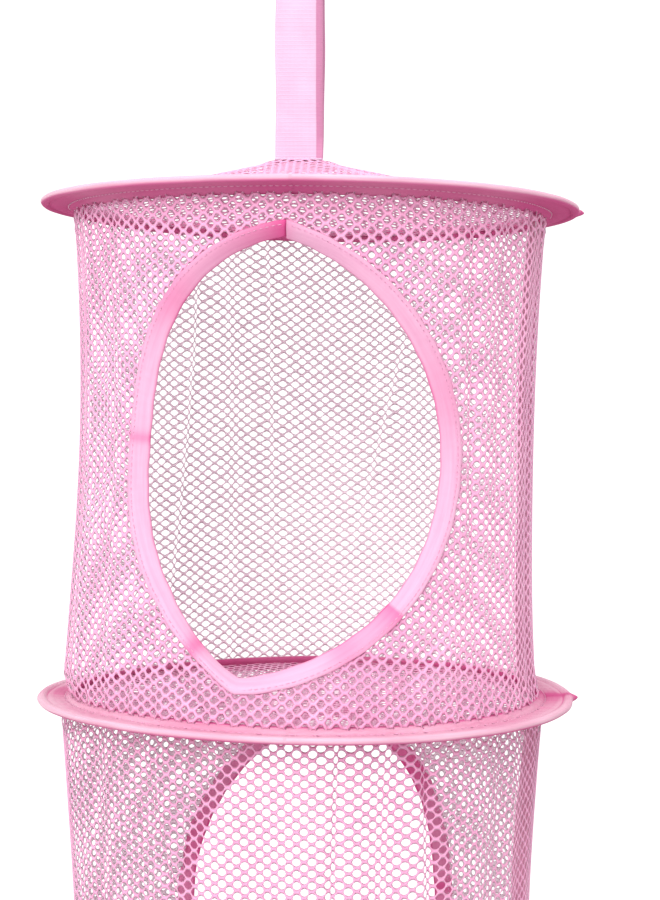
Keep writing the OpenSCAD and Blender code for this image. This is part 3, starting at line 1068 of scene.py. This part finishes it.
def strap_path():
    """The webbing's middle line in the YZ plane, from its front foot over to its rear foot."""
    layer = TAB_TOP - STRAP_T / 2
    leg = STRAP_T / 2 + 0.08 * MM
    line = [(-TAB_L / 2, layer)]
    for turn in radians(np.linspace(90, 0, 9)):
        line.append((FOOT_BEND * (cos(turn) - 1) - leg, layer + FOOT_BEND * (1 - sin(turn))))
    top = STRAP_TOP - STRAP_T / 2 - LOOP_R
    belly = LOOP_R + STRAP_T / 2
    for share in np.linspace(0.06, 0.97, 60):
        height = layer + FOOT_BEND + (top - layer - FOOT_BEND) * share
        line.append((-leg - (belly - leg) * (3 * share ** 2 - 2 * share ** 3), height))
    rear = [(-y, z) for y, z in reversed(line)]
    for turn in radians(np.linspace(180, 0, 17)):
        line.append((belly * cos(turn), top + belly * sin(turn)))
    return np.array(line + rear)


def hanging_strap():
    """Ribbed webbing in a loop, its ends spread on the top panel and its +X edge curled."""
    line = strap_path()
    length = distances(line)
    along = np.linspace(0, length[-1], int(length[-1] / (0.4 * MM)) + 1)
    line = at_distances(line, length, along)
    ahead = unit(np.gradient(line, axis=0))
    y, z, ahead_y, ahead_z = (values[:, None] for values in (*line.T, *ahead.T))
    across, swell = (column[None] for column in np.array(WEBBING_SECTION).T)
    rib = np.where(abs(across) < 0.9, 0.07, 0.05) * cos(TURN * along / RIB_PITCH)[:, None]
    half_t = STRAP_T / 2 * swell * (1 + rib)
    share = (along / along[-1])[:, None]
    slip = APEX_X - 0.5 * MM * sin(TURN * (share - 0.06)) ** 3
    x = across * STRAP_W / 2 * (1 + 0.012 * sin(4.5 * TURN * share)) + slip
    straight = clamp((z - TAB_TOP - 3 * MM) / (9 * MM))
    straight = straight * clamp((STRAP_TOP - 2 * LOOP_R - z) / (18 * MM))
    curl = 2.4 * MM * clamp((across - 0.7) / 0.3) ** 1.2 * straight
    front, back = (together(x, y - way * half_t * ahead_z + curl, z + way * half_t * ahead_y)
                   for way in (1, -1))
    grid = np.concatenate([front, back[:, ::-1]], axis=1)
    across = np.concatenate([across, across[:, ::-1]], axis=1)
    cloth = together(along[:, None], across * STRAP_W / 2)
    # Painted shade along the curled +X edge, above the feet.
    deep = 0.9 * clamp((across - 0.7) / 0.04) * (z > TAB_TOP + 0.5 * MM)
    piece = sweep("hanging_strap_webbing", grid, WEBBING, cloth, deep)
    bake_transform(piece)
    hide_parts("hanging_strap", "strap_tab")


def strap_stitching():
    """Two rows of stitches across each foot of the strap."""
    runs = []
    for row in (0.5, 0.86):
        for way in (1, -1):
            x = np.linspace(-0.42, 0.42, 30) * STRAP_W + APEX_X
            path = together(x, way * row * TAB_L / 2, TAB_TOP - 0.1 * MM)
            runs.append((path, 0 * path + (0, 0, 1)))
    piece = stitch_run("strap_stitching_thread", runs, 3.0 * MM, 2.5 * MM, cover=0.6)
    fit(piece, 1)


# The patch's section from its middle out over its rolled edge and back: shares of its radius
# and of its thickness
PATCH_SECTION = ((0.02, 1.0), (0.4, 1.0), (0.8, 0.95), (0.93, 1.0), (0.985, 0.85), (1.0, 0.5),
                 (0.985, 0.15), (0.93, 0.0), (0.8, 0.06), (0.4, 0.0), (0.02, 0.0))


def anchor_patch():
    """Round fabric patch under the net, with a rolled edge."""
    low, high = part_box("anchor_patch")
    turn = around(96)[:, None]
    out, up = (column[None] for column in np.array(PATCH_SECTION).T)
    radius = out * PATCH_R * (1 + 0.012 * sin(13 * turn) * (out > 0.7))
    height = low.z - APEX_DROP + up * (high.z - low.z)
    grid = together(radius * cos(turn) + APEX_X, radius * sin(turn), height)
    rows, columns = grid.shape[:2]
    points = grid.reshape(-1, 3)
    first = np.arange(rows)[None] * columns
    faces = [grid_faces(rows, columns, True, False)[:, ::-1], first, first[:, ::-1] + columns - 1]
    piece = make_piece("anchor_patch_cloth", points, faces, SLEEVE, points[:, :2])
    fit(piece, 1)


# ---- Camera, light, floor
EYE_DISTANCE = 0.98  # from the bag's axis
EYE_AZIMUTH = radians(3.5)  # towards +X from straight in front
EYE_DROP = 106 * MM  # below the top hoop's plane
AIM_RIGHT = 11.6 * MM  # what the middle of the picture passes, right of the axis
PITCH = radians(-1.33)
ROLL = radians(0.6)
LENS = 73.75  # with the usual 36 mm sensor


def add_object(name, data, at, aim, roll=0.0):
    """A camera or light in the scene, at a place, looking at another."""
    made = bpy.data.objects.new(name, data)
    made.location = at
    made.rotation_mode = "QUATERNION"
    look = (Vector(aim) - Vector(at)).to_track_quat("-Z", "Y")
    made.rotation_quaternion = look @ Quaternion((0, 0, 1), roll)
    bpy.context.scene.collection.objects.link(made)
    return made


def add_camera():
    """The camera, at the photograph's viewing angle."""
    right = Vector((cos(EYE_AZIMUTH), sin(EYE_AZIMUTH), 0))
    eye = Vector((sin(EYE_AZIMUTH), -cos(EYE_AZIMUTH), 0)) * EYE_DISTANCE
    eye.z = HOOP_Z[1] - EYE_DROP
    aim = right * AIM_RIGHT
    aim.z = eye.z + EYE_DISTANCE * np.tan(PITCH)
    data = bpy.data.cameras.new("camera")
    data.lens = LENS
    data.sensor_width = 36
    data.clip_start = 0.05
    bpy.context.scene.camera = add_object("camera", data, eye, aim, ROLL)


def add_light(name, at, aim, size, power):
    """A soft panel of light that the camera doesn't see."""
    data = bpy.data.lights.new(name, "AREA")
    data.shape = "DISK"
    data.size = size
    data.energy = power
    add_object(name, data, at, aim).visible_camera = False


def add_world():
    """White surroundings, a little dimmer from below and from the +X side."""
    world = bpy.data.worlds.new("studio")
    world.use_nodes = True
    tree = world.node_tree
    background = tree.nodes["Background"]
    put(tree, (1, 1, 1, 1), background.inputs["Color"])
    where = node(tree, "TexCoord").outputs["Generated"]
    parts = node(tree, "SeparateXYZ", Vector=where).outputs
    below = ranged(tree, parts["Z"], 1.02, 1.12, -0.6, -0.3)
    beside = ranged(tree, parts["X"], 1.04, 0.97, 0.25, 0.9)
    put(tree, worked_out(tree, "MULTIPLY", below, beside), background.inputs["Strength"])
    bpy.context.scene.world = world
    bpy.context.scene.view_settings.view_transform = "Standard"


FLOOR_DROP = 0.33  # from the bottom hoop down to the floor
FLOOR_R = 2.4


def add_studio():
    """A pale round floor well below the hanging bag, and two soft lights."""
    middle = HOOP_Z[1] - TIER_H / 2
    add_light("key", (-0.45, -1.7, middle + 0.85), (0, 0, middle), 1.1, 28)
    add_light("top", (0.2, -0.2, 1.6), (0, 0, middle), 1.2, 16)
    turn = around(96)
    ring = together(FLOOR_R * cos(turn), FLOOR_R * sin(turn), HOOP_Z[4] - FLOOR_DROP)
    material, tree, shader = principled("floor", (0.62, 0.62, 0.62), 0.9, specular=0.1)
    tone = ramp(tree, noise(tree, 0.8), (0.6, 0.6, 0.6), (0.66, 0.66, 0.66))
    put(tree, tone, shader.inputs["Base Color"])
    make_piece("floor", ring, [np.arange(len(ring))[None]], material)


add_camera()
add_world()
add_studio()
hanging_strap()
strap_stitching()
anchor_patch()
for hoop in HOOPS:
    hoop_wire(hoop)
    hoop_ferrule(hoop)
    rim_sleeve(hoop)
    rim_stitching(hoop)
disc_net("top_panel_net", 1, cone_height, APEX_X, SMALL_HOLE)
for tier in TIERS:
    disc_net(f"floor_net_{tier}_knit", tier + 1, floor_height(tier + 1), 0.0, ROUND_HOLE)
    wall_net(tier)
    side_seam(tier)
    opening_binding(tier)
    binding_stitching(tier)
